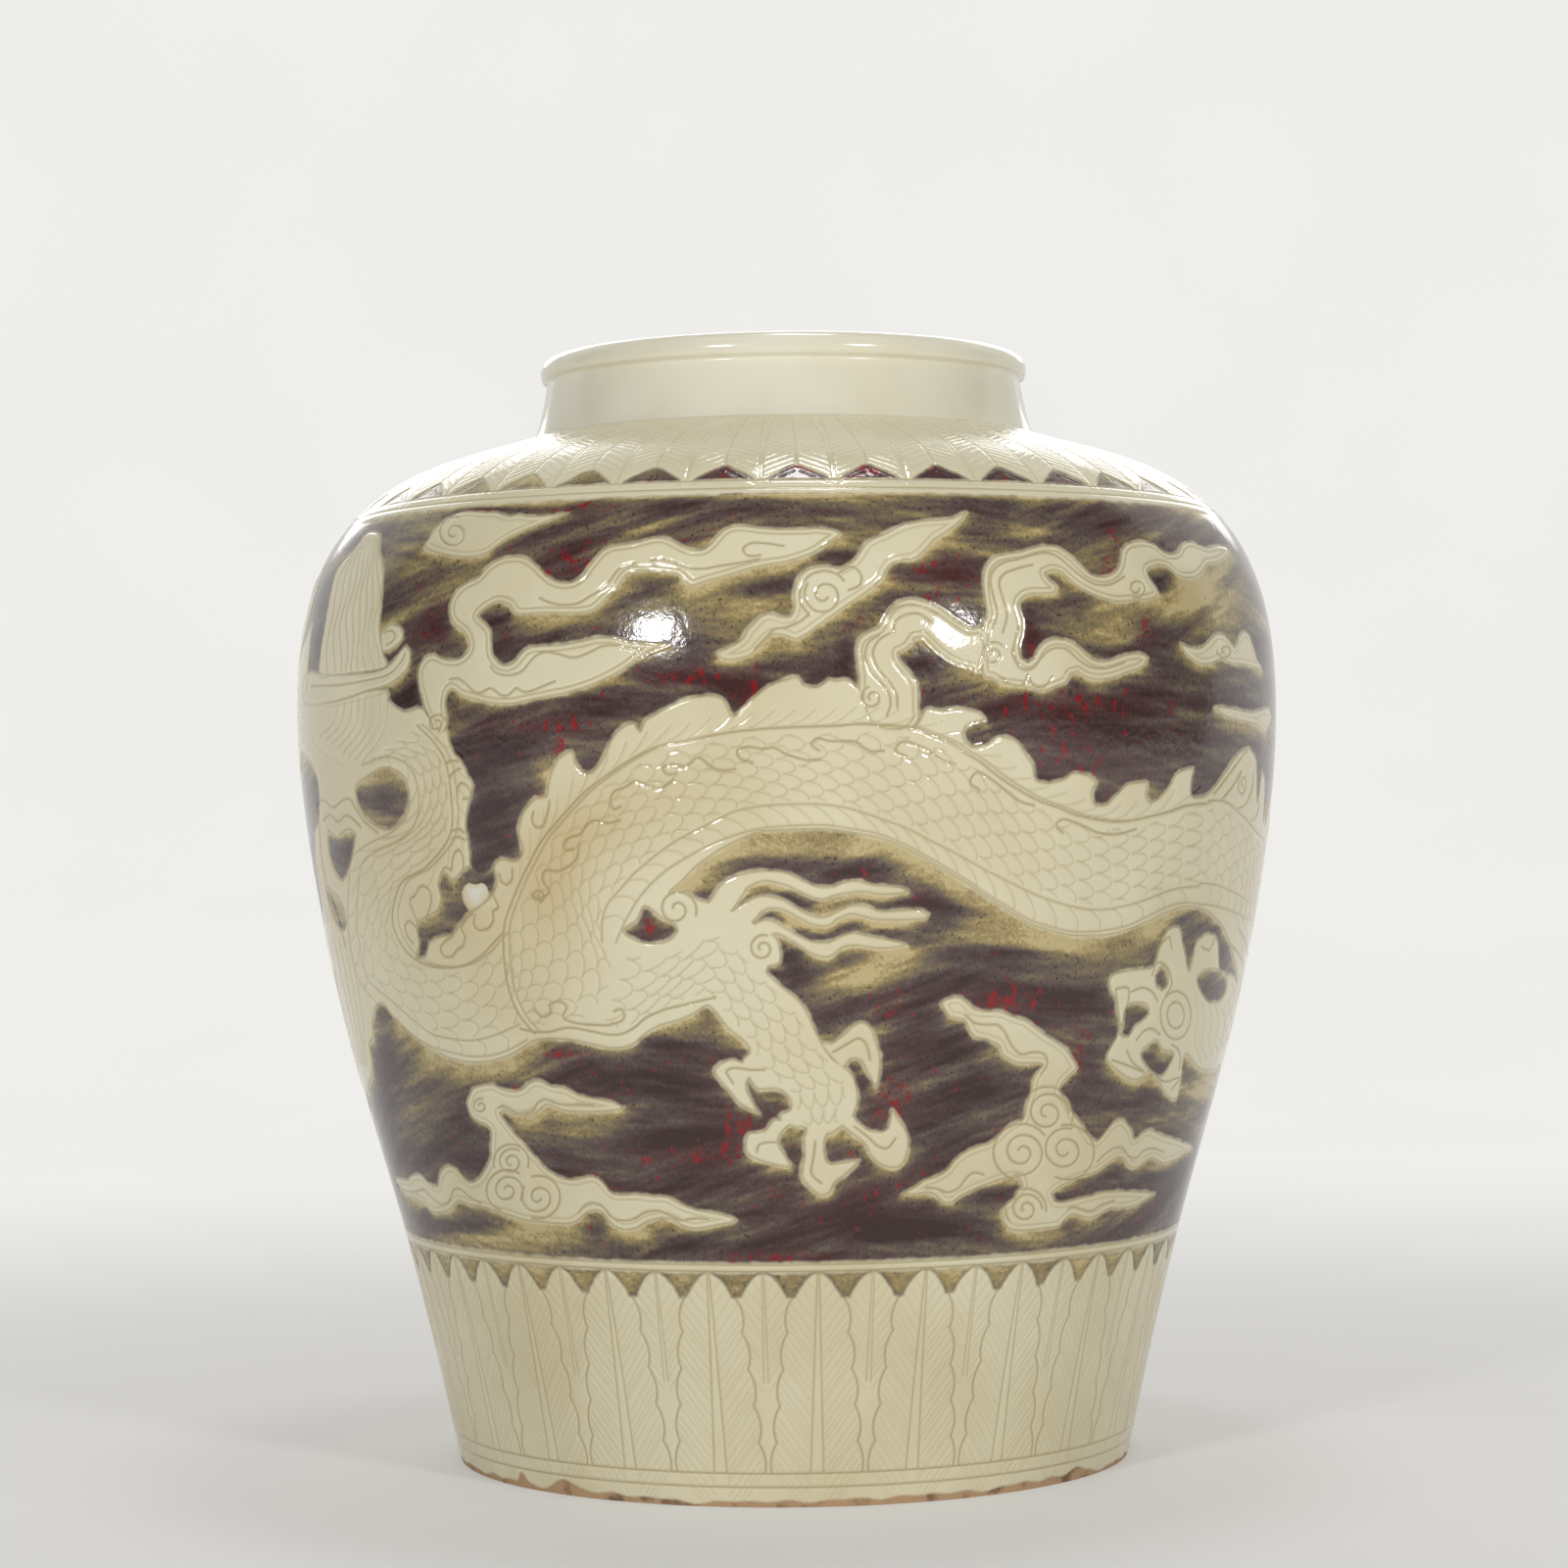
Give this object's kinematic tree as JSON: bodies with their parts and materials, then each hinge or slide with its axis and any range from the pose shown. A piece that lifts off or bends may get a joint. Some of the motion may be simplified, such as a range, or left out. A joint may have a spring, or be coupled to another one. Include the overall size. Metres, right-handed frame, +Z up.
{
  "type": "storage jar",
  "caption": "Large lugless storage jar with a short rolled neck, full shoulder and flat foot, cream glaze with a dragon and clouds reserved on a dull copper-red ground.",
  "frame": {"origin": "centre of the ring that the jar stands on", "axes": "+Z up along the axis of the jar, -Y towards the pictured side"},
  "size_m": [0.4288, 0.4288, 0.48],
  "materials": {
    "biscuit": "unglazed, dry, burnt orange-brown",
    "glazed_body": "glossy cream glaze over a dull copper-red ground",
    "glazed_lip": "glossy cream glaze",
    "slip": "fired slip under glaze"
  },
  "bodies": {
    "root": {"floor_disc": "biscuit", "foot_section": "glazed_body", "belly_section": "glazed_body", "shoulder_section": "glazed_body", "neck_section": "glazed_lip", "floor_luting": "slip", "lower_luting": "slip", "belly_luting": "slip", "neck_luting": "slip"}
  },
  "joints": []
}
